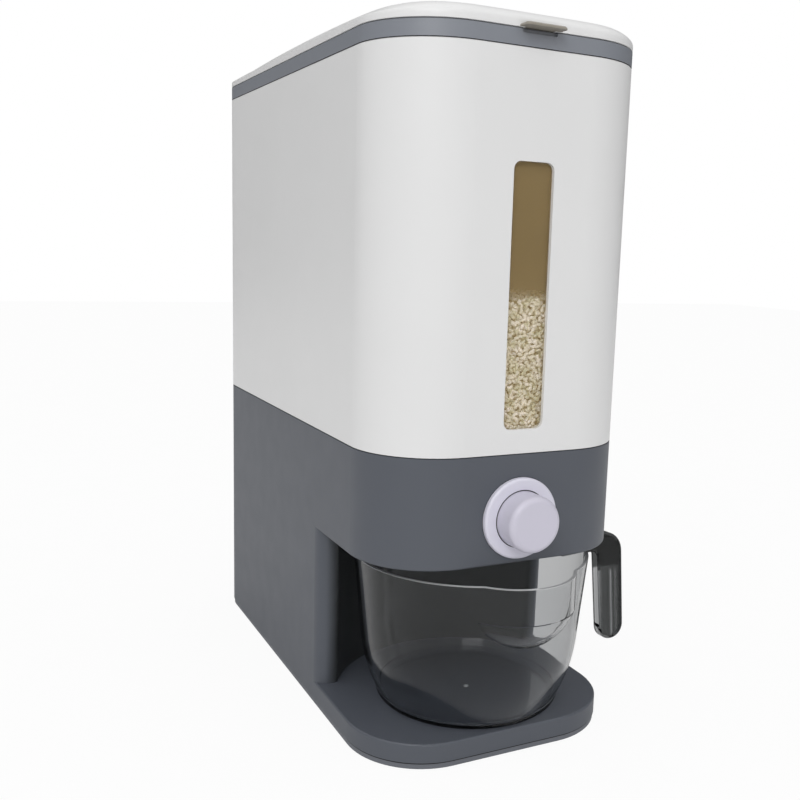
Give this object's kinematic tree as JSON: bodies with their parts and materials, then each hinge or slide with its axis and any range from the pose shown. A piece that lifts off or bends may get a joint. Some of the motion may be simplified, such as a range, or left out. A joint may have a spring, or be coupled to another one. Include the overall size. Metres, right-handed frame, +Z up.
{
  "type": "rice dispenser",
  "caption": "Tall countertop rice dispenser: hinged-lid bin with a level window on a hooded grey base, push-button gate and a clear spouted measuring cup in the open bay.",
  "frame": {"origin": "centre of the base's underside, on the surface that the dispenser stands on", "axes": "+Z up to the lid, -Y out of the front where the button and the cup are, +X to the right seen from the front"},
  "size_m": [0.2083, 0.3503, 0.4166],
  "materials": {
    "white_shell": "satin white moulding",
    "grey_shell": "satin slate grey moulding",
    "band_grey": "satin mid grey moulding",
    "plate_grey": "fine matt grey moulding",
    "tab_beige": "satin beige grey moulding",
    "button_white": "semi-gloss off-white moulding",
    "inner_white": "plain off-white moulding",
    "clear_cup": "clear moulding",
    "clear_pane": "clear moulding, faintly smoked",
    "seal_rubber": "soft grey ring",
    "pad_rubber": "black pads",
    "steel": "plain steel",
    "spring_steel": "bright spring wire"
  },
  "bodies": {
    "base": {"base_housing": "grey_shell", "base_plate": "plate_grey", "foot_pads": "pad_rubber", "plate_screws": "steel", "bin_shell": "white_shell", "bin_screws": "steel", "hopper_floor": "inner_white", "window_pane": "clear_pane", "rim_collar": "band_grey", "hinge_pin": "steel", "button_ring": "button_white", "ring_nut": "inner_white", "gate_guide": "inner_white", "guide_screws": "steel", "return_spring": "spring_steel"},
    "lid": {"lid_top": "white_shell", "lid_liner": "inner_white", "lid_seal": "seal_rubber", "lid_tab": "tab_beige"},
    "button": {"button_cap": "button_white", "push_rod": "inner_white", "gate_plate": "inner_white", "gate_screw": "steel"},
    "cup": {"measuring_cup": "clear_cup"}
  },
  "joints": [
    {"name": "lid_hinge", "type": "hinge", "parent": "base", "child": "lid", "pos_m": [0, 0.1624, 0.40215], "axis": [-1, 0, 0], "range_deg": [0, 100]},
    {"name": "button_push", "type": "slide", "parent": "base", "child": "button", "axis": [0, 1, 0], "range_m": [0, 0.014], "stiffness_N_per_m": 150, "springref_m": -0.01, "deforming": ["return_spring"]},
    {"name": "cup_pull", "type": "slide", "parent": "base", "child": "cup", "axis": [0, -1, 0], "range_m": [0, 0.19]}
  ]
}
